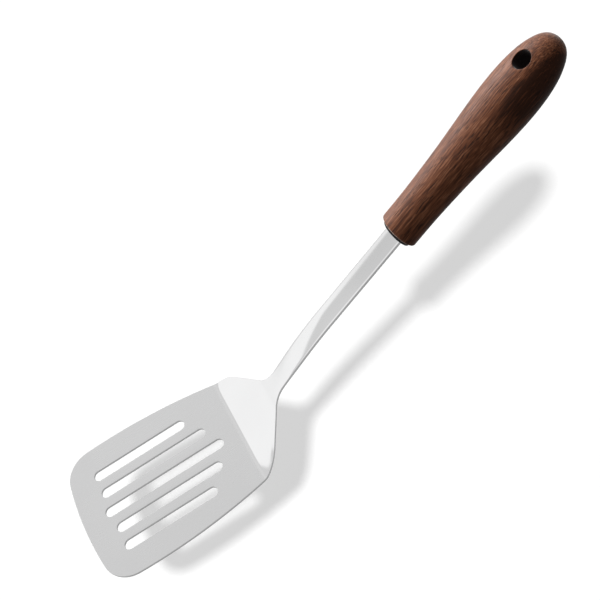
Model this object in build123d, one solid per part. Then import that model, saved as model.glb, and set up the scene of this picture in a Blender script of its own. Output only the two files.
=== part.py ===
from build123d import *
from math import cos, radians, sin
import os

# A slotted kitchen turner. Millimetres. The blade lies flat with its underside on z = 0,
# +X runs from the blade to the handle, +Z is up, and the tool is symmetric about y = 0.
# The origin is on the underside, in the middle of the land between the centre slot and the fold.

# Steel sheet: blade
sheet_thickness = 1.2
blade_length = 91.0
blade_width = 80.8
front_width = 78.8
front_bow = 3.8
widest_from_fold = 62.0
front_corner_radius = 15.5

# Steel sheet: slots
slot_count = 5
slot_width = 5.9
slot_pitch = 11.5
slot_front_land = 14.8
centre_slot_front_land = 12.6
centre_slot_back_land = 9.6
inner_slot_back_land = 15.3
outer_slot_back_land = 23.0

# Steel sheet: fold, neck and shank
fold_to_origin = 4.8
fold_radius = 5.0
neck_angle = 29.0
neck_length = 24.0
neck_curve_radius = 40.0
shoulder_reach = 7.0
shoulder_width = 63.6
shoulder_radius = 22.0
taper_reach = 25.3
taper_fillet = 9.5
waist_width = 11.0
waist_reach = 46.0
waist_curve_radius = 200.0
rise_angle = 35.0
rise_length = 35.4
shank_angle = 27.1
shank_length = 72.6
shank_curve_radius = 270.0
shank_width = 12.5

# Steel sheet: tang, hidden in the handle
tang_width = 8.0
tang_length = 62.0
tang_rise = 0.8

# Dark cap between shank and wood
collar_thickness = 1.5
collar_inset = 2.2
collar_round = 0.4
tang_clearance = 0.1

# Wooden handle
handle_length = 116.0
handle_thickness = 23.0
handle_width = 30.0
handle_end_round = 1.2
bore_diameter = 9.6
bore_end_room = 4.0
hole_diameter = 9.4
hole_from_butt = 16.7
hole_rim_round = 0.5

# Half thickness along the handle, from the wood's front end to the butt
handle_length_shares = (0.12, 0.24, 0.38, 0.53, 0.68, 0.83, 0.93)
handle_radius_shares = (0.743, 0.775, 0.837, 0.932, 1.0, 0.94, 0.725)
handle_front_share = 0.74
handle_tip_pull_shares = (1.05, 1.27)

# Adhesive round the tang
bedding_gap = 0.05
bedding_recess = 1.0

# Cuts run past the solids by this much
overrun = 20.0

fold_x = fold_to_origin
front_x = fold_x - blade_length
handle_ratio = handle_width / handle_thickness
bore_length = tang_length + bore_end_room
tool_reach = neck_length + rise_length + shank_length + handle_length


def along(angle, distance):
    """Point at a distance from zero, on a line that rises towards +X."""
    return Vector(distance * cos(radians(angle)), distance * sin(radians(angle)))


def underside_points():
    """Corners of the sheet's underside line, as X and Z, with the collar's outer face among them."""
    fold = Vector(fold_x, 0)
    neck_end = fold + along(neck_angle, neck_length)
    rise_end = neck_end + along(rise_angle, rise_length)
    collar_face = rise_end + along(shank_angle, shank_length)
    tang_end = collar_face + along(shank_angle, collar_thickness + tang_length)
    return Vector(front_x, 0), fold, neck_end, rise_end, collar_face, tang_end


def above(point, angle, distance):
    """Point moved square to a rising line."""
    return point + Vector(-distance * sin(radians(angle)), distance * cos(radians(angle)))


def above_corner(point, angle_before, angle_after):
    """Corner of the sheet's top line over a corner of its underside line."""
    half_turn = radians((angle_after - angle_before) / 2)
    return above(point, (angle_before + angle_after) / 2, sheet_thickness / cos(half_turn))


def side_profile():
    """The bent sheet, seen from the side, with its length run past the front of the blade."""
    front, fold, neck_end, rise_end, collar_face, tang_end = underside_points()
    start = front - Vector(overrun, 0)
    start_top = start + Vector(0, sheet_thickness)
    end_top = above(tang_end, shank_angle, sheet_thickness)
    under = FilletPolyline(
        start,
        fold,
        neck_end,
        rise_end,
        tang_end,
        radius=(fold_radius + sheet_thickness, neck_curve_radius + sheet_thickness, shank_curve_radius),
    )
    top = FilletPolyline(
        start_top,
        above_corner(fold, 0, neck_angle),
        above_corner(neck_end, neck_angle, rise_angle),
        above_corner(rise_end, rise_angle, shank_angle),
        end_top,
        radius=(fold_radius, neck_curve_radius, shank_curve_radius + sheet_thickness),
    )
    ends = [Line(start, start_top), Line(tang_end, end_top)]
    return Plane.XZ * make_face(under.edges() + top.edges() + ends)


def plan_outline():
    """Blade, shoulders, neck and shank, seen from above."""
    tang_end = underside_points()[-1]
    corner = Vector(front_x + front_bow, front_width / 2)
    widest = Vector(fold_x - widest_from_fold, blade_width / 2)
    shoulder = Vector(fold_x + shoulder_reach, shoulder_width / 2)
    neck = Vector(fold_x + taper_reach, waist_width / 2)
    waist_end = Vector(fold_x + waist_reach, shank_width / 2)
    shank_end = Vector(tang_end.X + overrun, shank_width / 2)
    front = Vector(front_x, 0)
    centre_end = Vector(shank_end.X, 0)
    mirrored_corner = Vector(corner.X, -corner.Y)
    bow = ThreePointArc(mirrored_corner, front, corner).trim(0.5, 1)
    half = make_face(
        [
            bow,
            ThreePointArc(corner, widest, shoulder),
            Line(shoulder, neck),
            Line(neck, waist_end),
            Line(waist_end, shank_end),
            Line(shank_end, centre_end),
            Line(centre_end, front),
        ]
    )
    for point, radius in (
        (corner, front_corner_radius),
        (shoulder, shoulder_radius),
        (neck, taper_fillet),
        (waist_end, waist_curve_radius),
    ):
        half = fillet(half.vertices().sort_by_distance(point)[0], radius)
    return half + mirror(half, about=Plane.XZ)


def slot_span(row):
    """Front and back end of a slot, where row 0 is the centre slot."""
    front_land = slot_front_land
    if row == 0:
        front_land = centre_slot_front_land
    back_land = (centre_slot_back_land, inner_slot_back_land, outer_slot_back_land)[min(row, 2)]
    return front_x + front_land, fold_x - back_land


def slots():
    """The row of drain slots, cut straight through."""
    cuts = []
    for index in range(slot_count):
        place = index - (slot_count - 1) / 2
        front, back = slot_span(round(abs(place)))
        shape = SlotOverall(back - front, slot_width)
        cuts.append(Pos((front + back) / 2, place * slot_pitch) * shape)
    return Pos(0, 0, -overrun) * extrude(Sketch() + cuts, 2 * overrun)


def handle_place():
    """Placement whose +X runs along the handle's axis, from the wood's front end to the butt."""
    collar_face = underside_points()[4]
    wood_end = collar_face + along(shank_angle, collar_thickness)
    axis_point = above(wood_end, shank_angle, sheet_thickness / 2 - tang_rise)
    return Location((axis_point.X, 0, axis_point.Y), (0, -shank_angle, 0))


def make_pressing():
    """Blade, fold, neck, shank and tang, bent from one sheet."""
    reach = blade_width + overrun
    sheet = extrude(side_profile(), reach / 2, both=True)
    plan = Pos(0, 0, -overrun) * extrude(plan_outline(), tool_reach + overrun)
    pressing = (sheet & plan) - slots()
    side_cut_width = (shank_width - tang_width) / 2 + overrun
    for side in (-1, 1):
        cut = Box(
            tang_length + overrun, side_cut_width, overrun, align=(Align.MIN, Align.CENTER, Align.CENTER)
        )
        side_y = side * (tang_width + side_cut_width) / 2
        pressing -= handle_place() * Pos(-collar_thickness, side_y, 0) * cut
    return pressing


def tang_space(clearance):
    """Block that the tang takes up, in the handle's placement, with room round it."""
    block = Box(
        overrun + tang_length + clearance,
        tang_width + 2 * clearance,
        sheet_thickness + 2 * clearance,
        align=(Align.MIN, Align.CENTER, Align.CENTER),
    )
    return Pos(-overrun, 0, tang_rise) * block


def squashed_disc(half_thickness, half_width, length, edge):
    """An oval disc along +X with one rounded rim, on the side away from the wood."""
    rim = Ellipse(half_width, half_thickness)
    disc = extrude(Plane.YZ * rim, -length)
    outer = disc.edges().sort_by(Axis.X)[0]
    return fillet(outer, edge)


def make_collar():
    """Thin dark cap on the wood's front end, slotted for the tang."""
    half_thickness = handle_front_share * handle_thickness / 2 - collar_inset
    half_width = handle_front_share * handle_width / 2 - collar_inset
    disc = squashed_disc(half_thickness, half_width, collar_thickness, collar_round)
    return handle_place() * (disc - tang_space(tang_clearance))


def handle_profile():
    """Half outline of the handle, thickness against length, closed along its axis."""
    radius = handle_thickness / 2
    front_radius = handle_front_share * radius
    start = Vector(handle_end_round, front_radius)
    tip = Vector(handle_length, 0)
    points = [start]
    for length_share, radius_share in zip(handle_length_shares, handle_radius_shares):
        points.append(Vector(length_share * handle_length, radius_share * radius))
    points.append(tip)
    outline = Spline(points, tangents=[(1, 0), (0, -1)], tangent_scalars=handle_tip_pull_shares)
    rim_start = Vector(0, front_radius - handle_end_round)
    rim = CenterArc((handle_end_round, rim_start.Y), handle_end_round, 90, 90)
    return make_face([Line((0, 0), rim_start), rim, outline, Line(tip, (0, 0))])


def make_handle():
    """Wooden handle with a blind tang bore and a hanging hole."""
    turned = revolve(handle_profile(), Axis.X)
    body = scale(turned, by=(1, handle_ratio, 1))
    bore = Cylinder(bore_diameter / 2, bore_length + overrun, align=(Align.CENTER, Align.CENTER, Align.MIN))
    body -= Pos(-overrun, 0, 0) * Rot(0, 90, 0) * bore
    hole_place = Pos(handle_length - hole_from_butt, 0, 0)
    body -= hole_place * Cylinder(hole_diameter / 2, handle_thickness + overrun)
    wall = body.faces().filter_by(GeomType.CYLINDER).sort_by_distance(hole_place.position)[0]
    rims = wall.edges().filter_by(GeomType.LINE, reverse=True)
    return handle_place() * fillet(rims, hole_rim_round)


def make_tang_bedding():
    """Cured adhesive that fills the bore round the tang."""
    radius = bore_diameter / 2 - bedding_gap
    length = bore_length - bedding_recess - bedding_gap
    plug = Cylinder(radius, length, align=(Align.CENTER, Align.CENTER, Align.MIN))
    plug = Pos(bedding_recess, 0, 0) * Rot(0, 90, 0) * plug
    return handle_place() * (plug - tang_space(bedding_gap))


os.makedirs("parts", exist_ok=True)
export_step(make_pressing(), "parts/blade_and_shank.step")
export_step(make_collar(), "parts/collar.step")
export_step(make_handle(), "parts/handle.step")
export_step(make_tang_bedding(), "parts/tang_bedding.step")
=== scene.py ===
from math import atan2, cos, pi, radians, sin, tan

import bmesh
import bpy
import numpy as np
from mathutils import Matrix, Vector


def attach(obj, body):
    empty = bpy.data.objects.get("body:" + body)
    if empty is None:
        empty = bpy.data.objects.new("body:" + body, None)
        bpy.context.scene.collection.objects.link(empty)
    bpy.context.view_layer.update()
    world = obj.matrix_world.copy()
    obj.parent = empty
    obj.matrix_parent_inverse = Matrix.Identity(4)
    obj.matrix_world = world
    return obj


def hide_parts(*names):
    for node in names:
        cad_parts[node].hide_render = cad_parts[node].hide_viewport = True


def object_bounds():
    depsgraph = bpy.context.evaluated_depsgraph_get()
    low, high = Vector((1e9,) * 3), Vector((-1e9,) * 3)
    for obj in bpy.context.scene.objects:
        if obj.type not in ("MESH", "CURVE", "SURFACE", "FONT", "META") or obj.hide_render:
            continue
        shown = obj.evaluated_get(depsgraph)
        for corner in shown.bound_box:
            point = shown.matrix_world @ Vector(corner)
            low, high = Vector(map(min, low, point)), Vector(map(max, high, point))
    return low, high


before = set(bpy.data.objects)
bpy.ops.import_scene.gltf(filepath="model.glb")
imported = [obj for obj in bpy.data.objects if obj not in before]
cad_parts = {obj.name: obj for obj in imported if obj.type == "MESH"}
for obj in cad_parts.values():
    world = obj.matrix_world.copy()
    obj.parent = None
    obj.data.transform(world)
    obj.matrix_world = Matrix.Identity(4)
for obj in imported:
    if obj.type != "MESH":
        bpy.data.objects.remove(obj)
cad_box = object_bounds()

# A slotted kitchen turner. Sizes are millimetres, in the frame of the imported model:
# the blade lies flat on z = 0, +X runs to the handle and +Z is up. Meshes are made in metres.
MM = 0.001
SHARP_ANGLE = 40.0

# Sheet
SHEET = 1.2
BLADE_EDGE_ROUND = 0.14
SHANK_EDGE_ROUND = 0.36
BLADE_LENGTH = 91.0
BLADE_WIDTH = 80.8
FRONT_WIDTH = 78.8
FRONT_BOW = 3.8
WIDEST_FROM_FOLD = 62.0
FRONT_CORNER = 15.5

# Fold, neck and shank
FOLD_X = 4.8
FOLD_RADIUS = 5.0
NECK_ANGLE, NECK_LENGTH, NECK_CURVE = 29.0, 24.0, 40.0
RISE_ANGLE, RISE_LENGTH = 35.0, 35.4
SHANK_ANGLE, SHANK_LENGTH, SHANK_CURVE = 27.1, 72.6, 270.0
# corners of the outline past the fold: distance from the fold, half width and arc radius
SHOULDER = (7.0, 31.8, 22.0)
NARROW = (25.3, 5.5, 9.5)
WAIST_END = (46.0, 6.25, 200.0)
# the shank's top and underside are curved across by this radius, inside this half width
SHANK_CROWN, CROWN_HALF_WIDTH = 46.0, 9.0
# distances from the fold over which the crown starts
CROWN_STARTS = (24.0, 44.0)
# the faces fall off towards the outline by a slope, from this far inside it
SHANK_EDGE_SLOPE, SHANK_EDGE_REACH = 0.30, 1.4
SHOULDER_SLOPE = 0.16
SHOULDER_REACH, SHOULDER_FAR_REACH = 10.0, 3.0
# distances from the fold over which the shoulders' reach narrows and their fall ends
SHOULDER_NARROWS, SHOULDER_ENDS = (0.5, 9.0), (5.0, 15.0)
# the mesh's rows: up to this far past the fold, this far apart
ROW_STEPS = ((-3.0, 1.6), (4.0, 0.25), (34.0, 0.55), (999.0, 1.5))

# Tang, collar and handle
TANG_WIDTH, TANG_LENGTH, TANG_RISE = 8.0, 62.0, 0.8
COLLAR_THICKNESS, COLLAR_INSET, COLLAR_ROUND, TANG_CLEARANCE = 1.5, 2.2, 0.4, 0.1
HANDLE_LENGTH, HANDLE_THICKNESS, HANDLE_WIDTH = 116.0, 23.0, 30.0
HANDLE_FRONT = 0.74
HANDLE_END_ROUND = 1.2
HANDLE_LENGTH_SHARES = (0.12, 0.24, 0.38, 0.53, 0.68, 0.83, 0.93)
HANDLE_RADIUS_SHARES = (0.743, 0.775, 0.837, 0.932, 1.0, 0.94, 0.725)
HANDLE_TIP_PULLS = (1.05, 1.27)
HOLE_DIAMETER, HOLE_FROM_BUTT, HOLE_ROUND = 9.4, 16.7, 0.5
BORE_DIAMETER, BORE_LENGTH = 9.6, 66.0

# Slots
SLOTS = {
    "Slot Count": 5,
    "Slot Width": 5.9,
    "Slot Pitch": 11.5,
    "Front Land": 14.8,
    "Centre Front Land": 12.6,
    "Centre Back Land": 9.6,
    "Inner Back Land": 15.3,
    "Outer Back Land": 23.0,
    "Rim Round": 0.13,
}

# Steel, in metres along the tool: where the polish starts and where the colour darkens a little
# towards the collar, a painted darker reflection
POLISH_STARTS, STEEL_PAINTED_SHADE = (0.0030, 0.0055), (0.072, 0.105)

# Wood: its tones from dark to light, the paler front rim in metres along the handle, a painted
# highlight, and the dark band near the butt in metres along and across it, a painted shade on the
# -Y side, where the band starts and fades on two sides
WOOD_TONES = (
    (0.15, (0.034, 0.011, 0.005)),
    (0.40, (0.088, 0.028, 0.012)),
    (0.58, (0.138, 0.048, 0.021)),
    (0.82, (0.245, 0.102, 0.053)),
)
PAINTED_RIM_HIGHLIGHT = (0.00025, 0.00060)
PAINTED_SHADE_ALONG = (0.066, 0.088)
PAINTED_SHADE_ACROSS = (-0.0175, -0.0140), (-0.0098, -0.0064)
PAINTED_SHADE_DEPTH = 0.46

# Floor: its height and reach, and the places in metres over which its reflection brightens
FLOOR_Z, FLOOR_REACH = -120.0, 4000.0
FLOOR_BRIGHTENS, FLOOR_REFLECTED = (0.0, 0.35), (0.44, 0.88)

# Light: where each lamp shines from, its strength and its width in degrees
KEY_FROM, KEY_STRENGTH, KEY_WIDTH = (-0.013, -0.57, 1.0), 1.85, 3.5
SIDE_FROM, SIDE_STRENGTH, SIDE_WIDTH = (-0.30, 0.85, 0.43), 6.8, 40.0

# Surround: its brightness against the height of a direction, from the horizon to straight up,
# and the share of it that is left in front, in diffuse light and in reflections
SURROUND = (
    (0.0, 0.85),
    (0.14, 0.90),
    (0.22, 1.15),
    (0.393, 1.17),
    (0.411, 0.80),
    (0.74, 0.87),
    (0.84, 0.76),
    (0.98, 0.72),
)
FRONT_SHARES = (0.25, 0.48)
WINDOW_FROM, WINDOW_STRENGTH = (-0.72, 0.13, 0.68), 0.25

# Camera, in metres
LENS = 102.0
CAMERA_PLACE = (0.0780183, -0.5111997, 0.6684963)
CAMERA_RIGHT = (0.845894, -0.399091, -0.353821)
CAMERA_DOWN = (-0.533106, -0.652741, -0.538263)
CAMERA_FORWARD = (-0.016138, 0.643938, -0.764907)


# ---------------------------------------------------------------- shapes in the plane

def unit(v):
    return v / np.linalg.norm(v)


def along(angle, distance):
    return distance * np.array([cos(radians(angle)), sin(radians(angle))])


def rounded_line(points, radii, step=0.2):
    """Straight runs with an arc of the given radius at each inner corner, as dense points."""
    out = [np.array(points[0], float)]
    for before, corner, after, radius in zip(points, points[1:], points[2:], radii):
        before, corner, after = (np.array(p, float) for p in (before, corner, after))
        a, b = unit(corner - before), unit(after - corner)
        turn = atan2(a[0] * b[1] - a[1] * b[0], a @ b)
        reach = radius * tan(abs(turn) / 2)
        centre = corner - a * reach + np.sign(turn) * radius * np.array([-a[1], a[0]])
        count = max(4, int(abs(turn) * radius / step))
        for k in range(count + 1):
            angle = turn * k / count
            arm = -np.sign(turn) * radius * np.array([-a[1], a[0]])
            c, s = cos(angle), sin(angle)
            out.append(centre + np.array([arm[0] * c - arm[1] * s, arm[0] * s + arm[1] * c]))
    out.append(np.array(points[-1], float))
    return np.array(out)


def resample(line, step):
    """The same line with points at about the given step."""
    run = np.r_[0, np.cumsum(np.linalg.norm(np.diff(line, axis=0), axis=1))]
    count = max(2, int(round(run[-1] / step)) + 1)
    at = np.linspace(0, run[-1], count)
    return np.stack([np.interp(at, run, line[:, k]) for k in (0, 1)], axis=1)


def arc_through(a, b, c, count=80):
    """Arc from a over b to c."""
    a, b, c = (np.array(p, float) for p in (a, b, c))
    m = np.array([b - a, c - b])
    centre = np.linalg.solve(m, [(b @ b - a @ a) / 2, (c @ c - b @ b) / 2])
    start = atan2(*(a - centre)[::-1])

    def turn(p, q):
        change = atan2(*(q - centre)[::-1]) - atan2(*(p - centre)[::-1])
        return (change + pi) % (2 * pi) - pi

    sweep = turn(a, b) + turn(b, c)
    angles = start + sweep * np.linspace(0, 1, count)
    radius = np.linalg.norm(a - centre)
    return centre + radius * np.stack([np.cos(angles), np.sin(angles)], axis=1)


def left_of(line):
    """Unit vectors to the left of a line of points."""
    t = np.gradient(line, axis=0)
    t /= np.linalg.norm(t, axis=1)[:, None]
    return np.stack([-t[:, 1], t[:, 0]], axis=1)


def crossing(p, q):
    """Where two lines of points cross, as the share of an index on each."""
    for i in range(len(p) - 1):
        d, e = p[i + 1] - p[i], q[1:] - q[:-1]
        w = q[:-1] - p[i]
        den = d[0] * e[:, 1] - d[1] * e[:, 0]
        den = np.where(abs(den) < 1e-12, 1e-12, den)
        s = (w[:, 0] * e[:, 1] - w[:, 1] * e[:, 0]) / den
        t = (w[:, 0] * d[1] - w[:, 1] * d[0]) / den
        hit = np.where((s >= 0) & (s < 1) & (t >= 0) & (t < 1))[0]
        if len(hit):
            return i + s[hit[0]], hit[0] + t[hit[0]]
    raise RuntimeError("two outlines that should meet do not")


def point_at(line, at):
    """Point of a line at a share of an index."""
    k = int(at)
    return line[k] + (line[k + 1] - line[k]) * (at - k)


def join_round(first, second, radius, side):
    """Two lines joined by an arc that touches both, on their left for a side of 1."""
    a, b = resample(first, 0.25), resample(second, 0.25)
    s, t = crossing(a + side * radius * left_of(a), b + side * radius * left_of(b))
    p, q = point_at(a, s), point_at(b, t)
    centre = p + side * radius * left_of(a)[int(s)]
    from_angle, to_angle = atan2(*(p - centre)[::-1]), atan2(*(q - centre)[::-1])
    sweep = (to_angle - from_angle + pi) % (2 * pi) - pi
    angles = from_angle + sweep * np.linspace(0, 1, max(6, int(abs(sweep) * radius / 0.5)))
    arc = centre + radius * np.stack([np.cos(angles), np.sin(angles)], axis=1)
    return np.concatenate([a[: int(s) + 1], arc, b[int(t) + 1 :]])


def smooth(x, low, high):
    t = np.clip((np.asarray(x, float) - low) / (high - low), 0, 1)
    return t * t * (3 - 2 * t)


# ---------------------------------------------------------------- the tool's lines

def side_corners():
    """Corners of the sheet's underside line and the middle of the collar's outer face."""
    fold = np.array([FOLD_X, 0.0])
    neck_end = fold + along(NECK_ANGLE, NECK_LENGTH)
    rise_end = neck_end + along(RISE_ANGLE, RISE_LENGTH)
    collar_face = rise_end + along(SHANK_ANGLE, SHANK_LENGTH)
    tang_end = collar_face + along(SHANK_ANGLE, COLLAR_THICKNESS + TANG_LENGTH)
    return fold, neck_end, rise_end, collar_face, tang_end


def above(point, angle, distance):
    return point + distance * np.array([-sin(radians(angle)), cos(radians(angle))])


FOLD, NECK_END, RISE_END, COLLAR_FACE, TANG_END = side_corners()
WOOD_END = COLLAR_FACE + along(SHANK_ANGLE, COLLAR_THICKNESS)
AXIS_START = above(WOOD_END, SHANK_ANGLE, SHEET / 2 - TANG_RISE)


def corner_above(point, before, after):
    return above(point, (before + after) / 2, SHEET / cos(radians(after - before) / 2))


UNDER_LINE = rounded_line(
    [(FOLD_X - BLADE_LENGTH - 1, 0), FOLD, NECK_END, RISE_END, TANG_END + along(SHANK_ANGLE, 2)],
    [FOLD_RADIUS + SHEET, NECK_CURVE + SHEET, SHANK_CURVE],
)
TOP_LINE = rounded_line(
    [
        (FOLD_X - BLADE_LENGTH - 1, SHEET),
        corner_above(FOLD, 0, NECK_ANGLE),
        corner_above(NECK_END, NECK_ANGLE, RISE_ANGLE),
        corner_above(RISE_END, RISE_ANGLE, SHANK_ANGLE),
        above(TANG_END, SHANK_ANGLE, SHEET) + along(SHANK_ANGLE, 2),
    ],
    [FOLD_RADIUS, NECK_CURVE, SHANK_CURVE + SHEET],
)


def half_outline():
    """Half of the sheet's outline from above, from the middle of the front to the collar."""
    front_x = FOLD_X - BLADE_LENGTH
    corner = (front_x + FRONT_BOW, FRONT_WIDTH / 2)
    widest = (FOLD_X - WIDEST_FROM_FOLD, BLADE_WIDTH / 2)
    bow = arc_through((corner[0], -corner[1]), (front_x, 0), corner, 161)[80:]
    shoulder = (FOLD_X + SHOULDER[0], SHOULDER[1])
    side = arc_through(corner, widest, shoulder, 120)
    neck = (FOLD_X + NARROW[0], NARROW[1])
    waist = (FOLD_X + WAIST_END[0], WAIST_END[1])
    shank_end = (COLLAR_FACE[0], WAIST_END[1])
    line = join_round(bow, side, FRONT_CORNER, -1)
    line = join_round(line, np.array([shoulder, neck]), SHOULDER[2], -1)
    line = join_round(line, np.array([neck, waist]), NARROW[2], 1)
    line = join_round(line, np.array([waist, shank_end]), WAIST_END[2], -1)
    return line


def handle_radius():
    """Half thickness of the handle against its length, from the front rim to the tip."""
    radius = HANDLE_THICKNESS / 2
    points = [(HANDLE_END_ROUND, HANDLE_FRONT * radius)]
    shares = zip(HANDLE_LENGTH_SHARES, HANDLE_RADIUS_SHARES)
    points += [(along_share * HANDLE_LENGTH, share * radius) for along_share, share in shares]
    points.append((HANDLE_LENGTH, 0.0))
    points = np.array(points)
    run = np.r_[0, np.cumsum(np.linalg.norm(np.diff(points, axis=0), axis=1))]
    run /= run[-1]
    total = np.linalg.norm(np.diff(points, axis=0), axis=1).sum()
    ends = total * np.array([(HANDLE_TIP_PULLS[0], 0.0), (0.0, -HANDLE_TIP_PULLS[1])])
    n = len(points)
    h = np.diff(run)
    m, rhs = np.zeros((n, n)), np.zeros((n, 2))
    m[0, 0] = m[-1, -1] = 1
    rhs[0], rhs[-1] = ends
    for i in range(1, n - 1):
        m[i, i - 1 : i + 2] = h[i], 2 * (h[i - 1] + h[i]), h[i - 1]
        before, after = (points[i] - points[i - 1]) / h[i - 1], (points[i + 1] - points[i]) / h[i]
        rhs[i] = 3 * (h[i] * before + h[i - 1] * after)
    slope = np.linalg.solve(m, rhs)
    out = []
    for i in range(n - 1):
        for t in np.linspace(0, 1, 40, endpoint=False):
            out.append(
                (2 * t**3 - 3 * t**2 + 1) * points[i]
                + (t**3 - 2 * t**2 + t) * h[i] * slope[i]
                + (-2 * t**3 + 3 * t**2) * points[i + 1]
                + (t**3 - t**2) * h[i] * slope[i + 1]
            )
    out.append(points[-1])
    return np.array(out)


HANDLE_LINE = handle_radius()


def in_handle(points):
    """Points given along, across and up from the handle's axis, moved to the tool's frame."""
    p = np.asarray(points, float)
    c, s = cos(radians(SHANK_ANGLE)), sin(radians(SHANK_ANGLE))
    x = AXIS_START[0] + p[:, 0] * c - p[:, 2] * s
    z = AXIS_START[1] + p[:, 0] * s + p[:, 2] * c
    return np.stack([x, p[:, 1], z], axis=1)


# ---------------------------------------------------------------- mesh helpers

def new_mesh(name, points, faces):
    mesh = bpy.data.meshes.new(name)
    mesh.from_pydata([tuple(p) for p in np.asarray(points) * MM], [], faces)
    mesh.validate()
    mesh.update()
    obj = bpy.data.objects.new(name, mesh)
    bpy.context.scene.collection.objects.link(obj)
    return obj


def bands(rings, count):
    """Quads between closed rings that each have the same count of points."""
    faces = []
    for ring in range(rings - 1):
        a, b = ring * count, (ring + 1) * count
        faces += [(a + k, a + (k + 1) % count, b + (k + 1) % count, b + k) for k in range(count)]
    return faces


def evaluated(obj):
    """The object with its modifiers turned into a plain mesh."""
    bpy.context.view_layer.update()
    depsgraph = bpy.context.evaluated_depsgraph_get()
    mesh = bpy.data.meshes.new_from_object(obj.evaluated_get(depsgraph), depsgraph=depsgraph)
    obj.modifiers.clear()
    old = obj.data
    obj.data = mesh
    bpy.data.meshes.remove(old)
    return obj


def finish_shading(obj):
    """Smooth shading that keeps flat faces flat, with sharp corners past SHARP_ANGLE."""
    obj.data.polygons.foreach_set("use_smooth", [True] * len(obj.data.polygons))
    obj.data.set_sharp_from_angle(angle=radians(SHARP_ANGLE))
    weigh = obj.modifiers.new("area weighted normals", "WEIGHTED_NORMAL")
    weigh.keep_sharp = True
    weigh.weight = 60
    return evaluated(obj)


def outward(obj):
    """Recalculates the normals of a closed mesh so that they point out."""
    bm = bmesh.new()
    bm.from_mesh(obj.data)
    bmesh.ops.remove_doubles(bm, verts=bm.verts, dist=1e-7)
    bmesh.ops.recalc_face_normals(bm, faces=bm.faces)
    if bm.calc_volume(signed=True) < 0:
        bmesh.ops.reverse_faces(bm, faces=bm.faces)
    bm.to_mesh(obj.data)
    bm.free()
    return obj


# ---------------------------------------------------------------- node helpers

class Nodes:
    """Short calls to add and join nodes in one tree."""

    def __init__(self, tree):
        self.tree = tree

    def add(self, kind, settings=None, **inputs):
        node = self.tree.nodes.new(kind)
        for key, value in (settings or {}).items():
            setattr(node, key, value)
        for key, value in inputs.items():
            self.put(node, key.replace("_", " "), value)
        return node

    def put(self, node, key, value):
        socket = node.inputs[key]
        if isinstance(value, bpy.types.NodeSocket):
            self.tree.links.new(value, socket)
        else:
            socket.default_value = value

    def math(self, operation, a, b=None, c=None, clamp=False):
        node = self.tree.nodes.new("ShaderNodeMath")
        node.operation = operation
        node.use_clamp = clamp
        for k, value in enumerate((a, b, c)):
            if value is not None:
                self.put(node, k, value)
        return node.outputs[0]

    def times(self, a, b):
        return self.math("MULTIPLY", a, b)

    def plus(self, a, b, clamp=False):
        return self.math("ADD", a, b, clamp=clamp)

    def minus(self, a, b):
        return self.math("SUBTRACT", a, b)

    def vector(self, operation, a, b=None):
        node = self.tree.nodes.new("ShaderNodeVectorMath")
        node.operation = operation
        for k, value in enumerate((a, b)):
            if value is not None:
                self.put(node, k, value)
        return node.outputs["Value" if operation in ("LENGTH", "DOT_PRODUCT") else "Vector"]

    def sway(self, base, value, weight):
        """The base, moved by a noise value whose middle is one half."""
        swing = self.times(self.minus(value, 0.5), weight)
        return self.plus(base, swing)

    def span(self, value, from_low, from_high, to_low=0.0, to_high=1.0, kind="LINEAR"):
        node = self.tree.nodes.new("ShaderNodeMapRange")
        node.interpolation_type = kind
        self.put(node, "Value", value)
        ends = {"From Min": from_low, "From Max": from_high, "To Min": to_low, "To Max": to_high}
        for key, end in ends.items():
            self.put(node, key, end)
        return node.outputs["Result"]

    def noise(self, where, scale, detail=3.0, roughness=0.5, distortion=0.0):
        node = self.add(
            "ShaderNodeTexNoise",
            {"noise_dimensions": "3D"},
            Vector=where,
            Scale=scale,
            Detail=detail,
            Roughness=roughness,
            Distortion=distortion,
        )
        return node.outputs["Fac"]

    def mix(self, factor, a, b, blend="MIX"):
        node = self.tree.nodes.new("ShaderNodeMix")
        node.data_type = "RGBA"
        node.blend_type = blend
        self.put(node, 0, factor)
        self.put(node, 6, a)
        self.put(node, 7, b)
        return node.outputs[2]

    def ramp(self, value, stops):
        node = self.tree.nodes.new("ShaderNodeValToRGB")
        elements = node.color_ramp.elements
        while len(elements) < len(stops):
            elements.new(0.5)
        for element, (at, colour) in zip(elements, stops):
            element.position = at
            element.color = colour if len(colour) == 4 else (*colour, 1.0)
        self.put(node, "Fac", value)
        return node.outputs["Color"]

    def separate(self, vector):
        node = self.add("ShaderNodeSeparateXYZ")
        self.put(node, 0, vector)
        return node.outputs

    def combine(self, x, y, z):
        node = self.add("ShaderNodeCombineXYZ")
        for k, value in enumerate((x, y, z)):
            self.put(node, k, value)
        return node.outputs[0]


def grey(value):
    return (value, value, value, 1.0)


def shader_group(name, inputs, outputs):
    """An empty shader node group with named sockets, and its inner input and output nodes."""
    tree = bpy.data.node_groups.new(name, "ShaderNodeTree")
    for key, kind, value in inputs:
        socket = tree.interface.new_socket(name=key, in_out="INPUT", socket_type=kind)
        if value is not None:
            socket.default_value = value
    for key, kind in outputs:
        tree.interface.new_socket(name=key, in_out="OUTPUT", socket_type=kind)
    n = Nodes(tree)
    return n, n.add("NodeGroupInput").outputs, n.add("NodeGroupOutput").inputs


def new_material(name):
    material = bpy.data.materials.new(name)
    material.use_nodes = True
    material.node_tree.nodes.clear()
    n = Nodes(material.node_tree)
    shader = n.add("ShaderNodeBsdfPrincipled")
    out = n.add("ShaderNodeOutputMaterial")
    n.tree.links.new(shader.outputs[0], out.inputs["Surface"])
    where = n.add("ShaderNodeTexCoord").outputs["Object"]
    return material, n, shader, where


def use_group(n, tree, **inputs):
    node = n.add("ShaderNodeGroup", {"node_tree": tree})
    for key, value in inputs.items():
        n.put(node, key.replace("_", " "), value)
    return node.outputs


# ---------------------------------------------------------------- shared surface effects

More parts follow.
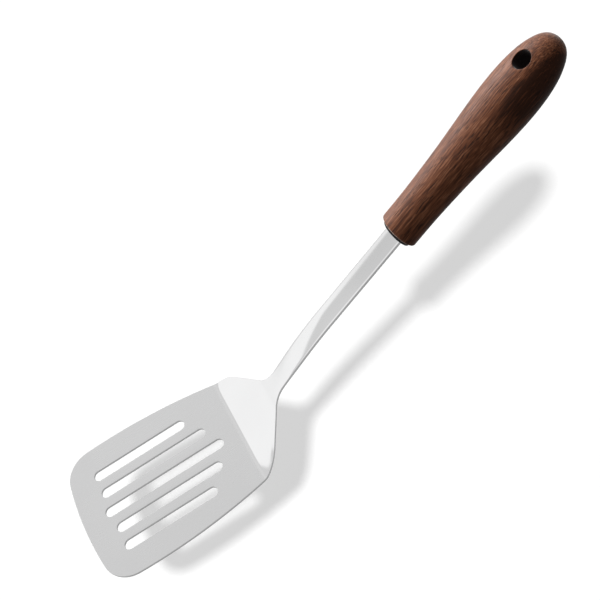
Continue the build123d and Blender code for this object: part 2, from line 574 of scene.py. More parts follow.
def fine_wear_group():
    """Hairline scratches and a soft cloudiness, for worn and polished surfaces."""
    n, given, out = shader_group(
        "fine wear",
        [
            ("Vector", "NodeSocketVector", None),
            ("Scale", "NodeSocketFloat", 1.0),
            ("Amount", "NodeSocketFloat", 1.0),
        ],
        [("Scratches", "NodeSocketFloat"), ("Clouds", "NodeSocketFloat")],
    )
    place = n.vector("SCALE", given["Vector"])
    n.put(place.node, "Scale", given["Scale"])
    total = None
    for turn, seed in ((0.35, 3.0), (1.25, 17.0), (2.3, 41.0)):
        turned = n.add("ShaderNodeMapping", {"vector_type": "POINT"}, Vector=place)
        n.put(turned, "Location", (seed, seed * 0.7, 0.0))
        n.put(turned, "Rotation", (0.0, 0.0, turn))
        n.put(turned, "Scale", (1.0, 26.0, 26.0))
        line = n.noise(turned.outputs[0], 55.0, 2.0, 0.5, 0.4)
        hair = n.span(n.math("ABSOLUTE", n.minus(line, 0.5)), 0.0, 0.012, 1.0, 0.0)
        patch = n.span(n.noise(turned.outputs[0], 9.0, 1.0), 0.56, 0.68)
        part = n.times(hair, patch)
        total = part if total is None else n.math("MAXIMUM", total, part)
    n.put(out[0].node, "Scratches", n.times(total, given["Amount"]))
    n.put(out[0].node, "Clouds", n.noise(place, 34.0, 4.0, 0.55, 0.3))
    return n.tree


def streaks_group():
    """Fine streaks along X, for brushing and for wood fibres."""
    n, given, out = shader_group(
        "streaks along X",
        [
            ("Vector", "NodeSocketVector", None),
            ("Fineness", "NodeSocketFloat", 2000.0),
            ("Stretch", "NodeSocketFloat", 0.03),
        ],
        [("Fine", "NodeSocketFloat"), ("Broad", "NodeSocketFloat")],
    )
    x, y, z = n.separate(given["Vector"])
    place = n.combine(n.times(x, given["Stretch"]), y, z)
    n.put(out[0].node, "Fine", n.noise(place, given["Fineness"], 3.0, 0.6))
    broad = n.times(given["Fineness"], 0.3)
    n.put(out[0].node, "Broad", n.noise(place, broad, 3.0, 0.55, 0.2))
    return n.tree


FINE_WEAR = fine_wear_group()
STREAKS = streaks_group()


# ---------------------------------------------------------------- materials

def steel_material():
    """Satin sheet steel: finely brushed on the blade, polished on the neck and shank, with a painted
    darker reflection near the collar.
    """
    material, n, shader, where = new_material("satin steel")
    x = n.separate(where)[0]
    polished = n.span(x, *POLISH_STARTS, kind="SMOOTHSTEP")
    brush = use_group(n, STREAKS, Vector=where, Fineness=3600.0, Stretch=0.02)
    wear = use_group(n, FINE_WEAR, Vector=where, Scale=1.0, Amount=0.6)
    tone = n.sway(0.97, wear["Clouds"], 0.07)
    tone = n.sway(tone, brush["Fine"], 0.03)
    # painted reflection: the shank's colour darkens a little towards the collar
    tone = n.times(tone, n.span(x, *STEEL_PAINTED_SHADE, 1.0, 0.90, "SMOOTHSTEP"))
    base = n.mix(1.0, (0.78, 0.78, 0.782, 1.0), n.combine(tone, tone, tone), "MULTIPLY")
    n.put(shader, "Base Color", base)
    n.put(shader, "Metallic", 1.0)
    rough = n.span(polished, 0.0, 1.0, 0.27, 0.08)
    rough = n.sway(rough, wear["Clouds"], 0.08)
    rough = n.sway(rough, brush["Fine"], 0.04)
    rough = n.plus(rough, n.times(wear["Scratches"], 0.12), clamp=True)
    n.put(shader, "Roughness", rough)
    depth = n.span(polished, 0.0, 1.0, 1.0, 0.25)
    height = n.times(n.minus(brush["Fine"], 0.5), depth)
    height = n.minus(height, n.times(wear["Scratches"], 0.6))
    bump = n.add("ShaderNodeBump", None, Strength=0.02, Distance=0.00002, Height=height)
    n.put(shader, "Normal", bump.outputs[0])
    return material


def wood_material():
    """Dark oiled walnut with fibres along the handle, pores and growth bands."""
    material, n, shader, where = new_material("dark walnut")
    turned = n.add("ShaderNodeMapping", {"vector_type": "TEXTURE"}, Vector=where)
    n.put(turned, "Location", (AXIS_START[0] * MM, 0.0, AXIS_START[1] * MM))
    n.put(turned, "Rotation", (0.0, radians(-SHANK_ANGLE), 0.0))
    place = turned.outputs[0]
    warp = n.noise(place, 22.0, 2.0)
    x, y, z = n.separate(place)
    wander = n.times(n.minus(warp, 0.5), 0.0012)
    place = n.combine(x, n.plus(y, wander), n.plus(z, wander))
    fibre = use_group(n, STREAKS, Vector=place, Fineness=1650.0, Stretch=0.05)
    px, py, pz = n.separate(place)
    # the growth rings' middle lies outside the handle
    ring_y, ring_z = n.plus(py, 0.031), n.plus(pz, 0.018)
    ring_place = n.combine(n.times(px, 0.10), ring_y, ring_z)
    rings = n.add(
        "ShaderNodeTexWave",
        {"wave_type": "RINGS", "rings_direction": "X", "wave_profile": "SIN"},
        Vector=ring_place,
        Scale=95.0,
        Distortion=5.0,
        Detail=3.0,
        Detail_Scale=2.2,
        Detail_Roughness=0.6,
    ).outputs["Fac"]
    figure = n.noise(n.combine(n.times(px, 0.22), py, pz), 130.0, 3.0, 0.55, 0.6)
    pore_place = n.combine(n.times(px, 0.13), py, pz)
    pores = n.span(n.noise(pore_place, 1700.0, 1.0, 0.4), 0.57, 0.63)
    patch_place = n.combine(n.times(px, 0.2), py, pz)
    pore_area = n.span(n.noise(patch_place, 300.0, 2.0), 0.40, 0.58)
    pores = n.times(pores, pore_area)
    level = n.sway(0.5, rings, 0.08)
    level = n.sway(level, figure, 0.20)
    level = n.sway(level, fibre["Broad"], 0.16)
    level = n.sway(level, fibre["Fine"], 1.55)
    # painted shade: the handle's -Y side near the butt is darkened
    starts, fades = PAINTED_SHADE_ACROSS
    shade_band = n.span(px, *PAINTED_SHADE_ALONG, kind="SMOOTHSTEP")
    shade_band = n.times(shade_band, n.span(py, *starts, kind="SMOOTHSTEP"))
    shade_band = n.times(shade_band, n.span(py, *fades, 1.0, 0.0, "SMOOTHSTEP"))
    level = n.minus(level, n.times(shade_band, PAINTED_SHADE_DEPTH))
    colour = n.ramp(level, WOOD_TONES)
    colour = n.mix(n.times(pores, 0.68), colour, (0.014, 0.006, 0.004, 1.0))
    # the hanging hole's wall is darkened, a painted shade, and the front rim made paler, a painted
    # highlight
    past_hole = n.minus(x, (HANDLE_LENGTH - HOLE_FROM_BUTT) * MM)
    from_hole = n.vector("LENGTH", n.combine(past_hole, y, 0.0))
    wall, rim = (HOLE_DIAMETER / 2 + 0.05) * MM, (HOLE_DIAMETER / 2 + 0.3) * MM
    # painted shade: the hole's wall is coloured near black
    hole_shade = n.span(from_hole, wall, rim, 1.0, 0.0)
    colour = n.mix(n.times(hole_shade, 0.9), colour, (0.006, 0.003, 0.002, 1.0))
    # painted highlight: a pale line along the handle's front rim
    rim_highlight = n.span(x, *PAINTED_RIM_HIGHLIGHT, 1.0, 0.0)
    colour = n.mix(n.times(rim_highlight, 0.6), colour, (0.46, 0.30, 0.22, 1.0))
    n.put(shader, "Base Color", colour)
    rough = n.sway(0.44, fibre["Broad"], 0.25)
    rough = n.plus(rough, n.times(pores, 0.22), clamp=True)
    n.put(shader, "Roughness", rough)
    n.put(shader, "Specular IOR Level", 0.05)
    n.put(shader, "Sheen Weight", 0.30)
    n.put(shader, "Sheen Roughness", 0.42)
    height = n.times(n.plus(fibre["Fine"], fibre["Broad"]), 0.5)
    height = n.minus(height, n.times(pores, 0.9))
    bump = n.add("ShaderNodeBump", None, Strength=0.45, Distance=0.00009, Height=height)
    n.put(shader, "Normal", bump.outputs[0])
    return material


def collar_material():
    """Matte black moulded cap."""
    material, n, shader, where = new_material("matte black cap")
    wear = use_group(n, FINE_WEAR, Vector=where, Scale=3.0, Amount=0.8)
    grain = n.noise(where, 5200.0, 2.0)
    tone = n.plus(0.010, n.times(wear["Clouds"], 0.008))
    tone = n.plus(tone, n.times(wear["Scratches"], 0.02))
    green, blue = n.times(tone, 0.97), n.times(tone, 0.94)
    n.put(shader, "Base Color", n.combine(tone, green, blue))
    rough = n.sway(0.55, wear["Clouds"], 0.2)
    n.put(shader, "Roughness", n.plus(rough, n.times(grain, 0.08)))
    n.put(shader, "Specular IOR Level", 0.25)
    bump = n.add("ShaderNodeBump", None, Strength=0.3, Distance=0.00003, Height=grain)
    n.put(shader, "Normal", bump.outputs[0])
    return material


def bedding_material():
    """Cured adhesive, amber grey with small bubbles."""
    material, n, shader, where = new_material("cured adhesive")
    bubbles = n.add("ShaderNodeTexVoronoi", {"feature": "F1"}, Vector=where, Scale=1500.0)
    dots = n.span(bubbles.outputs["Distance"], 0.0, 0.22, 1.0, 0.0)
    cloud = n.noise(where, 260.0, 3.0)
    colour = n.mix(cloud, (0.42, 0.36, 0.25, 1.0), (0.58, 0.51, 0.38, 1.0))
    colour = n.mix(n.times(dots, 0.6), colour, (0.30, 0.25, 0.17, 1.0))
    n.put(shader, "Base Color", colour)
    n.put(shader, "Roughness", n.plus(0.38, n.times(cloud, 0.2)))
    bump = n.add("ShaderNodeBump", {"invert": True}, Strength=0.4, Distance=0.0001, Height=dots)
    n.put(shader, "Normal", bump.outputs[0])
    return material


STEEL = steel_material()
WOOD = wood_material()
CAP = collar_material()
BEDDING = bedding_material()


# ---------------------------------------------------------------- pressing

def fall_off(inner, reach):
    """How far a face has sunk that starts flat inside the outline and slopes by 1 at it."""
    return reach / 2 * np.clip(1 - inner / reach, 0, 1) ** 2


def crown(x, y, low, inner):
    """Height that the pressed shape adds to the plain bent sheet.

    low is the height of its underside there, and inner the distance to the outline.
    """
    from_fold = x - FOLD_X
    on_shank = smooth(from_fold, *CROWN_STARTS) * (abs(y) < CROWN_HALF_WIDTH)
    rounding = (WAIST_END[1] ** 2 / 3 - y**2) / (2 * SHANK_CROWN)
    fall = SHANK_EDGE_SLOPE * fall_off(inner, SHANK_EDGE_REACH)
    narrowed = smooth(from_fold, *SHOULDER_NARROWS)
    reach = SHOULDER_REACH + (SHOULDER_FAR_REACH - SHOULDER_REACH) * narrowed
    drop = SHOULDER_SLOPE * fall_off(inner, reach) * (1 - smooth(from_fold, *SHOULDER_ENDS))
    # the drop never takes the sheet below the blade's underside
    return on_shank * (rounding - fall) - drop * low / (drop + low + 1e-6)


def make_pressing_mesh():
    """Bent sheet as rows across the tool, with a rounded edge all round."""
    line = half_outline()
    tang = np.array(
        [
            (COLLAR_FACE[0] + 0.25, WAIST_END[1] - 0.1),
            (COLLAR_FACE[0] + 0.35, TANG_WIDTH / 2 + 0.1),
            (COLLAR_FACE[0] + 0.6, TANG_WIDTH / 2),
            (TANG_END[0] - 0.3, TANG_WIDTH / 2),
            (TANG_END[0], TANG_WIDTH / 2 - 0.3),
        ]
    )
    keep = line[:, 0] < COLLAR_FACE[0] - 0.05
    line = line[keep]
    run = np.r_[0, np.cumsum(np.linalg.norm(np.diff(line, axis=0), axis=1))]
    at, here = [0.0], 0.0
    while here < run[-1]:
        from_fold = np.interp(here, run, line[:, 0]) - FOLD_X
        here += next(step for reach, step in ROW_STEPS if from_fold < reach)
        at.append(min(here, run[-1]))
    outline = np.stack([np.interp(at, run, line[:, k]) for k in (0, 1)], axis=1)
    outline = np.concatenate([outline, tang])
    rows = len(outline)
    out_dir = left_of(outline)
    out_dir[0] = (-1.0, 0.0)
    shares = np.sin(np.linspace(-pi / 2, pi / 2, 41))
    turns = np.radians((90, 68, 45, 22, 0))
    profile = [(1 - cos(a), 1 - sin(a), 1) for a in turns]
    profile += [(inset, drop, -1) for inset, drop, side in reversed(profile)]
    grown = smooth(outline[:, 0], FOLD_X, FOLD_X + 40)
    edge_round = BLADE_EDGE_ROUND + (SHANK_EDGE_ROUND - BLADE_EDGE_ROUND) * grown
    inner = outline - out_dir * edge_round[:, None]
    inner[:, 1] = np.maximum(inner[:, 1], 0.02)

    def place(x, y, level, edge_distance):
        """level runs from -1 at the underside to 1 at the top."""
        low, high = (np.interp(x, line[:, 0], line[:, 1]) for line in (UNDER_LINE, TOP_LINE))
        z = (low + high) / 2 + level * (high - low) / 2 + crown(x, y, low, edge_distance)
        return np.stack([x, y, z], axis=-1)

    dense = np.concatenate([outline[::-1] * (1, -1), outline])

    def edge_distance(x, y):
        pts = np.stack([x.ravel(), y.ravel()], axis=1)
        best = np.full(len(pts), 99.0)
        for k in range(0, len(pts), 2000):
            d = np.linalg.norm(pts[k : k + 2000, None, :] - dense[None, :, :], axis=2)
            best[k : k + 2000] = d.min(axis=1)
        return best.reshape(x.shape)

    xs = np.repeat(inner[:, 0][:, None], len(shares), axis=1)
    ys = inner[:, 1][:, None] * shares[None, :]
    near = edge_distance(xs, ys)
    upper = place(xs, ys, 1.0, near)
    lower = place(xs, ys, -1.0, near)
    points, faces = [], []
    n = len(shares)
    points += list(upper.reshape(-1, 3))
    points += list(lower.reshape(-1, 3))
    base = rows * n
    for i in range(rows - 1):
        for k in range(n - 1):
            a, b = i * n + k, (i + 1) * n + k
            faces.append((a, b, b + 1, a + 1))
            faces.append((base + a, base + a + 1, base + b + 1, base + b))
    # the rounded wall: for each side, one strip of points per row
    rim_start = len(points)
    inner_profile = profile[1:-1]
    m = len(inner_profile)
    for side in (1, -1):
        for i in range(rows):
            for inset, drop, face in inner_profile:
                p = outline[i] - out_dir[i] * inset * edge_round[i]
                p = np.array([p[0], max(p[1], 0.0) * side])
                level = face * (1 - drop * edge_round[i] / (SHEET / 2))
                points.append(place(p[0], p[1], level, inset * edge_round[i]))

    def rim(row, side):
        """A row's points on one side, from the top over the rounded wall to the underside."""
        column, first = (n - 1, rim_start) if side == 1 else (0, rim_start + rows * m)
        wall = [first + row * m + k for k in range(m)]
        return [row * n + column, *wall, base + row * n + column]

    for side in (1, -1):
        for i in range(rows - 1):
            ring_a, ring_b = rim(i, side), rim(i + 1, side)
            for k in range(m + 1):
                quad = (ring_a[k], ring_b[k], ring_b[k + 1], ring_a[k + 1])
                faces.append(quad if side == -1 else quad[::-1])
    # the tang's end and the very front are closed by strips between the two sides
    for i in (0, rows - 1):
        left, right = rim(i, 1), rim(i, -1)
        if i == 0:
            faces += [(left[k], left[k + 1], right[k + 1], right[k]) for k in range(1, m)]
            faces.append((left[1], right[1], *range(n)))
            faces.append((right[m], left[m], *range(base + n - 1, base - 1, -1)))
        else:
            above_row = range(i * n, i * n + n)
            below_row = range(base + i * n + n - 1, base + i * n - 1, -1)
            faces.append((*above_row, *left[1:-1], *below_row, *right[-2:0:-1]))
    return outward(new_mesh("pressing", points, faces))


def slot_tree():
    """Geometry nodes that punch the row of rounded slots through the blade."""
    tree = bpy.data.node_groups.new("punched slots", "GeometryNodeTree")
    tree.interface.new_socket(name="Geometry", in_out="INPUT", socket_type="NodeSocketGeometry")
    for name, value in SLOTS.items():
        kind = "NodeSocketInt" if isinstance(value, int) else "NodeSocketFloat"
        socket = tree.interface.new_socket(name=name, in_out="INPUT", socket_type=kind)
        socket.default_value = value
    for name, value in (("Front X", FOLD_X - BLADE_LENGTH), ("Fold X", FOLD_X), ("Sheet", SHEET)):
        socket = tree.interface.new_socket(name=name, in_out="INPUT", socket_type="NodeSocketFloat")
        socket.default_value = value
    tree.interface.new_socket(name="Material", in_out="INPUT", socket_type="NodeSocketMaterial")
    tree.interface.new_socket(name="Geometry", in_out="OUTPUT", socket_type="NodeSocketGeometry")
    n = Nodes(tree)
    given = n.add("NodeGroupInput").outputs
    out = n.add("NodeGroupOutput")
    # one cutter: a round bar whose radius flares near both faces of the sheet
    bar = n.add("GeometryNodeMeshCylinder", {"fill_type": "NGON"})
    n.put(bar, "Vertices", 48)
    n.put(bar, "Side Segments", 14)
    n.put(bar, "Radius", 1.0)
    n.put(bar, "Depth", 2.0)
    spot = n.add("GeometryNodeInputPosition").outputs[0]
    turn = n.add("ShaderNodeVectorRotate", {"rotation_type": "Z_AXIS"}, Vector=spot, Angle=pi / 48)
    x, y, z = n.separate(turn.outputs[0])
    level = n.math("ABSOLUTE", z)
    swing = n.span(level, 0.15, 0.86, 0.0, radians(74))
    beyond = n.span(level, 0.86, 1.0, 0.0, 0.3)
    widen = n.times(given["Rim Round"], n.minus(1.0, n.math("COSINE", swing)))
    widen = n.plus(widen, n.times(beyond, tan(radians(74))))
    radius = n.plus(n.times(given["Slot Width"], 0.5), widen)
    straight = n.minus(n.times(given["Sheet"], 0.5), given["Rim Round"])
    rounded = n.times(given["Rim Round"], n.math("SINE", swing))
    up = n.plus(n.times(n.span(level, 0.0, 0.15), straight), rounded)
    up = n.plus(up, beyond)
    up = n.times(up, n.math("SIGN", z))
    shaped = n.add("GeometryNodeSetPosition", None, Geometry=bar.outputs["Mesh"])
    wide_x, wide_y = n.times(x, radius), n.times(y, radius)
    n.put(shaped, "Position", n.combine(wide_x, wide_y, up))
    keep = n.add("GeometryNodeCaptureAttribute", {"domain": "POINT"}, Geometry=shaped.outputs[0])
    keep.capture_items.new("FLOAT", "back half")
    n.put(keep, 1, n.math("GREATER_THAN", x, 0.0))
    # the row
    row = n.add("GeometryNodeMeshLine", {"mode": "OFFSET"}, Count=given["Slot Count"])
    n.put(row, "Start Location", (0.0, 0.0, 0.0))
    n.put(row, "Offset", (0.0, 1.0, 0.0))
    index = n.add("GeometryNodeInputIndex").outputs[0]
    middle = n.times(n.minus(given["Slot Count"], 1.0), 0.5)
    offset = n.minus(index, middle)
    rank = n.math("ROUND", n.math("ABSOLUTE", offset))
    is_inner = n.math("COMPARE", rank, 1.0, 0.1)
    is_centre = n.math("LESS_THAN", rank, 0.5)
    is_outer = n.math("GREATER_THAN", rank, 1.5)
    shift = n.minus(given["Centre Front Land"], given["Front Land"])
    front_land = n.plus(given["Front Land"], n.times(is_centre, shift))
    back_land = n.times(is_centre, given["Centre Back Land"])
    back_land = n.plus(back_land, n.times(is_inner, given["Inner Back Land"]))
    back_land = n.plus(back_land, n.times(is_outer, given["Outer Back Land"]))
    half = n.times(given["Slot Width"], 0.5)
    front_end = n.plus(n.plus(given["Front X"], front_land), half)
    back_end = n.minus(n.minus(given["Fold X"], back_land), half)
    length = n.minus(back_end, front_end)
    laid = n.add("GeometryNodeSetPosition", None, Geometry=row.outputs[0])
    across = n.times(offset, given["Slot Pitch"])
    n.put(laid, "Position", n.combine(front_end, across, n.times(given["Sheet"], 0.5)))
    sized = n.add("GeometryNodeCaptureAttribute", {"domain": "POINT"}, Geometry=laid.outputs[0])
    sized.capture_items.new("FLOAT", "slot length")
    n.put(sized, 1, length)
    copies = n.add("GeometryNodeInstanceOnPoints", None, Points=sized.outputs[0])
    n.put(copies, "Instance", keep.outputs[0])
    real = n.add("GeometryNodeRealizeInstances", None, Geometry=copies.outputs[0])
    drawn = n.add("GeometryNodeSetPosition", None, Geometry=real.outputs[0])
    pulled = n.times(keep.outputs[1], sized.outputs[1])
    n.put(drawn, "Offset", n.combine(pulled, 0.0, 0.0))
    scaled = n.add("GeometryNodeTransform", None, Geometry=drawn.outputs[0])
    n.put(scaled, "Scale", (MM, MM, MM))
    cut = n.add("GeometryNodeMeshBoolean", {"operation": "DIFFERENCE", "solver": "EXACT"})
    n.tree.links.new(given["Geometry"], cut.inputs["Mesh 1"])
    n.tree.links.new(scaled.outputs[0], cut.inputs["Mesh 2"])
    whole = n.add("GeometryNodeRealizeInstances", None, Geometry=cut.outputs["Mesh"])
    finish = n.add("GeometryNodeSetMaterial", None, Geometry=whole.outputs[0])
    n.put(finish, "Material", given["Material"])
    n.tree.links.new(finish.outputs[0], out.inputs[0])
    return tree


def set_inputs(modifier, tree, values):
    """Sets a geometry nodes modifier's inputs by their sockets' identifiers."""
    for item in tree.interface.items_tree:
        if item.in_out == "INPUT" and item.name in values:
            modifier[item.identifier] = values[item.name]


pressing = make_pressing_mesh()
tree = slot_tree()
punch = pressing.modifiers.new("punched slots", "NODES")
punch.node_group = tree
set_inputs(punch, tree, {**SLOTS, "Material": STEEL})
evaluated(pressing)
pressing.data.materials.clear()
pressing.data.materials.append(STEEL)
pressing.data.polygons.foreach_set("material_index", [0] * len(pressing.data.polygons))
finish_shading(pressing)


# ---------------------------------------------------------------- collar

def make_collar_piece():
    """Oval cap with a rounded rim and a slot for the tang."""
    half_up = HANDLE_FRONT * HANDLE_THICKNESS / 2 - COLLAR_INSET
    half_across = HANDLE_FRONT * HANDLE_WIDTH / 2 - COLLAR_INSET
    count = 128
    angles = np.arange(count) * 2 * pi / count
    slot_y, slot_z = TANG_WIDTH / 2 + TANG_CLEARANCE, SHEET / 2 + TANG_CLEARANCE
    c, s = np.cos(angles), np.sin(angles)
    reach = 1 / np.maximum(abs(c) / slot_y, abs(s) / slot_z)
    opening = np.stack([c * reach, TANG_RISE + s * reach], axis=1)
    rings = []

    def ring(x, inset=0.0, blend=1.0):
        outer = np.stack([c * (half_across - inset), s * (half_up - inset)], axis=1)
        flat = opening * (1 - blend) + outer * blend
        rings.append(np.column_stack([np.full(count, x), flat]))

    face, back, r = -COLLAR_THICKNESS, 0.0, COLLAR_ROUND
    ring(back, 0.0, 0.0)
    ring(face, r, 0.0)
    ring(face, r, 0.35)
    ring(face, r, 0.75)
    for a in np.radians((0, 15, 30, 45, 60, 75, 90)):
        ring(face + r * (1 - cos(a)), r * (1 - sin(a)))
    ring(back, 0.0)
    ring(back, 0.0, 0.5)
    points = np.concatenate(rings)
    faces = bands(len(rings), count)
    last = (len(rings) - 1) * count
    faces += [(last + k, last + (k + 1) % count, (k + 1) % count, k) for k in range(count)]
    obj = outward(new_mesh("collar_cap", in_handle(points), faces))
    obj.data.materials.append(CAP)
    return finish_shading(obj)


collar = make_collar_piece()


# ---------------------------------------------------------------- handle

def drill(obj, points, faces):
    """Cuts a closed shape out of a piece. Its points are given as for in_handle."""
    cutter = outward(new_mesh("cutter", in_handle(points), faces))
    cut = obj.modifiers.new("cut", "BOOLEAN")
    cut.operation, cut.solver, cut.object = "DIFFERENCE", "EXACT", cutter
    evaluated(obj)
    bpy.data.objects.remove(cutter)


def make_handle_piece():
    """Turned oval handle with a rounded front rim, a hanging hole and a blind tang bore."""
    ratio = HANDLE_WIDTH / HANDLE_THICKNESS
    front = HANDLE_FRONT * HANDLE_THICKNESS / 2
    rim = [
        (HANDLE_END_ROUND * (1 - sin(a)), front - HANDLE_END_ROUND * (1 - cos(a)))
        for a in np.radians((90, 75, 60, 45, 30, 15))
    ]
    face = [(0.0, front * t) for t in (0.35, 0.6, 0.8)]
    body = resample(HANDLE_LINE, 0.8)
    tip = body[-1]
    profile = np.array(face + rim + list(body[:-1]))
    count = 160
    angles = (np.arange(count) + 0.5) * 2 * pi / count
    points = [(x, r * ratio * cos(a), r * sin(a)) for x, r in profile for a in angles]
    faces = bands(len(profile), count)
    points += [(0.0, 0.0, 0.0), (tip[0], 0.0, 0.0)]
    first, last = len(points) - 2, len(points) - 1
    end = (len(profile) - 1) * count
    faces += [((k + 1) % count, k, first) for k in range(count)]
    faces += [(end + k, end + (k + 1) % count, last) for k in range(count)]
    obj = outward(new_mesh("wood_handle", in_handle(points), faces))
    # the hole's cutter flares to the curved surface on both sides
    hole_x = HANDLE_LENGTH - HOLE_FROM_BUTT
    sides = 96
    turn = np.arange(sides) * 2 * pi / sides

    def surface(x, y):
        radius = np.interp(x, HANDLE_LINE[:, 0], HANDLE_LINE[:, 1])
        return radius * np.sqrt(np.maximum(0, 1 - (y / (radius * ratio)) ** 2))

    rings = []
    swings = [radians(v) for v in (0, 15, 30, 45, 60, 72)]
    for side in (-1, 1):
        stack = []
        for a in swings:
            radius = HOLE_DIAMETER / 2 + HOLE_ROUND * (1 - cos(a))
            x, y = hole_x + radius * np.cos(turn), radius * np.sin(turn)
            sunk = HOLE_ROUND * (1 - sin(a))
            stack.append(np.column_stack([x, y, side * (surface(x, y) - sunk)]))
        lift = 0.6
        radius = HOLE_DIAMETER / 2 + HOLE_ROUND * (1 - cos(swings[-1])) + lift * tan(swings[-1])
        x, y = hole_x + radius * np.cos(turn), radius * np.sin(turn)
        stack.append(np.column_stack([x, y, side * (surface(x, y) + lift)]))
        stack.append(np.column_stack([x, y, np.full(sides, side * HANDLE_THICKNESS)]))
        rings += stack[::-1] if side == -1 else stack
    cutter_points = list(np.concatenate(rings))
    faces = bands(len(rings), sides)
    faces.append(tuple(range(sides)))
    faces.append(tuple(reversed(range((len(rings) - 1) * sides, len(rings) * sides))))
    drill(obj, cutter_points, faces)
    # the blind bore that the tang and its adhesive fill
    bore = BORE_DIAMETER / 2
    bore_y, bore_z = bore * np.cos(turn), bore * np.sin(turn)
    ends = [np.column_stack([np.full(sides, x), bore_y, bore_z]) for x in (-2.0, BORE_LENGTH)]
    faces = bands(2, sides)
    faces.append(tuple(range(sides)))
    faces.append(tuple(reversed(range(sides, 2 * sides))))
    drill(obj, np.concatenate(ends), faces)
    obj.data.materials.clear()
    obj.data.materials.append(WOOD)
    return finish_shading(obj)


handle = make_handle_piece()


# ---------------------------------------------------------------- pieces on the frame

def keep_in_box(piece):
    """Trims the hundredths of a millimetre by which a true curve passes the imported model's box."""
    places = np.empty(len(piece.data.vertices) * 3)
    piece.data.vertices.foreach_get("co", places)
    places = np.clip(places.reshape(-1, 3), *np.array(cad_box))
    piece.data.vertices.foreach_set("co", places.ravel())
    piece.data.update()


for piece, node in ((pressing, "blade_and_shank"), (collar, "collar"), (handle, "handle")):
    keep_in_box(piece)
    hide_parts(node)
    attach(piece, "root")
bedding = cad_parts["tang_bedding"]
bedding.data.materials.clear()
bedding.data.materials.append(BEDDING)


# ---------------------------------------------------------------- floor, light and camera

def make_floor():
    """Large pale floor that shows white to the camera and keeps the shadow."""
    signs = ((-1, -1), (1, -1), (1, 1), (-1, 1))
    corners = [(x * FLOOR_REACH, y * FLOOR_REACH, FLOOR_Z) for x, y in signs]
    floor = new_mesh("floor", corners, [(0, 1, 2, 3)])
    material = bpy.data.materials.new("pale floor")
    material.use_nodes = True
    material.node_tree.nodes.clear()
    n = Nodes(material.node_tree)
    path = n.add("ShaderNodeLightPath").outputs
    shown = n.add("ShaderNodeBsdfDiffuse", None, Color=grey(0.80))
    glow = n.add("ShaderNodeEmission", None, Color=grey(1.0), Strength=0.24)
    lit = n.add("ShaderNodeAddShader")
    n.tree.links.new(shown.outputs[0], lit.inputs[0])
    n.tree.links.new(glow.outputs[0], lit.inputs[1])
    bounce = n.add("ShaderNodeBsdfDiffuse", None, Color=grey(0.16))
    # reflections find the floor darker near the tool and brighter behind it
    y = n.separate(n.add("ShaderNodeTexCoord").outputs["Object"])[1]
    far = n.span(y, *FLOOR_BRIGHTENS, *FLOOR_REFLECTED, "SMOOTHSTEP")
    mirrored = n.add("ShaderNodeEmission", None, Color=grey(1.0), Strength=far)
    unseen = n.add("ShaderNodeMixShader", None, Fac=path["Is Glossy Ray"])
    n.tree.links.new(bounce.outputs[0], unseen.inputs[1])
    n.tree.links.new(mirrored.outputs[0], unseen.inputs[2])
    pick = n.add("ShaderNodeMixShader", None, Fac=path["Is Camera Ray"])
    n.tree.links.new(unseen.outputs[0], pick.inputs[1])
    n.tree.links.new(lit.outputs[0], pick.inputs[2])
    out = n.add("ShaderNodeOutputMaterial")
    n.tree.links.new(pick.outputs[0], out.inputs["Surface"])
    floor.data.materials.append(material)
    return floor


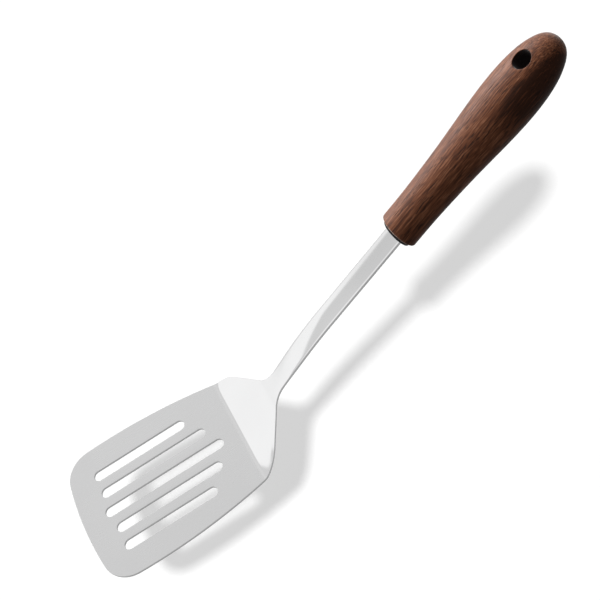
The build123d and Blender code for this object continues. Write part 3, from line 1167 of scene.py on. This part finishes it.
def make_world():
    """Studio surround: white to the camera, and bright and low behind the tool for its light."""
    world = bpy.data.worlds.new("studio")
    bpy.context.scene.world = world
    world.use_nodes = True
    world.node_tree.nodes.clear()
    n = Nodes(world.node_tree)
    direction = n.add("ShaderNodeTexCoord").outputs["Generated"]
    x, y, z = n.separate(direction)
    height = n.ramp(n.span(z, 0.0, 1.0), [(at, grey(level)) for at, level in SURROUND])
    behind = n.plus(n.times(y, 0.9), n.times(x, -0.35))
    path = n.add("ShaderNodeLightPath").outputs
    low = n.span(path["Is Glossy Ray"], 0.0, 1.0, *FRONT_SHARES)
    front = n.span(behind, -0.30, 0.42, kind="SMOOTHSTEP")
    front = n.plus(low, n.times(front, n.minus(1.0, low)))
    level = n.mix(1.0, height, n.combine(front, front, front), "MULTIPLY")
    window = n.vector("DOT_PRODUCT", direction, tuple(Vector(WINDOW_FROM).normalized()))
    window = n.span(window, 0.95, 0.99, 0.0, WINDOW_STRENGTH, "SMOOTHSTEP")
    level = n.mix(1.0, level, n.combine(window, window, window), "ADD")
    shown = n.mix(path["Is Camera Ray"], level, grey(1.0))
    back = n.add("ShaderNodeBackground", None, Color=shown, Strength=1.0)
    out = n.add("ShaderNodeOutputWorld")
    n.tree.links.new(back.outputs[0], out.inputs["Surface"])


def make_sun(name, direction, strength, width, receivers):
    """Distant lamp that lights only the given objects. The surround lights the rest."""
    data = bpy.data.lights.new(name, "SUN")
    data.energy = strength
    data.angle = radians(width)
    lamp = bpy.data.objects.new(name, data)
    lamp.rotation_euler = Vector(direction).to_track_quat("Z", "Y").to_euler()
    lit = bpy.data.collections.new("lit by the " + name)
    for receiver in receivers:
        lit.objects.link(receiver)
    lamp.light_linking.receiver_collection = lit
    bpy.context.scene.collection.objects.link(lamp)
    return lamp


def make_camera():
    """Camera placed and turned as the photograph was taken."""
    data = bpy.data.cameras.new("camera")
    data.sensor_width = 36.0
    data.lens = LENS
    data.clip_start, data.clip_end = 0.01, 50.0
    camera = bpy.data.objects.new("camera", data)
    right, down, forward = Vector(CAMERA_RIGHT), Vector(CAMERA_DOWN), Vector(CAMERA_FORWARD)
    turn = Matrix((right, -down, -forward)).transposed().to_4x4()
    camera.matrix_world = Matrix.Translation(CAMERA_PLACE) @ turn
    bpy.context.scene.collection.objects.link(camera)
    bpy.context.scene.camera = camera


floor = make_floor()
make_world()
# the key draws the soft shadow, and the side light models the handle from behind on the left
key = make_sun("key", KEY_FROM, KEY_STRENGTH, KEY_WIDTH, [floor])
key.visible_glossy = False
make_sun("side light", SIDE_FROM, SIDE_STRENGTH, SIDE_WIDTH, [handle, bedding])
make_camera()
bpy.context.scene.view_settings.view_transform = "Standard"
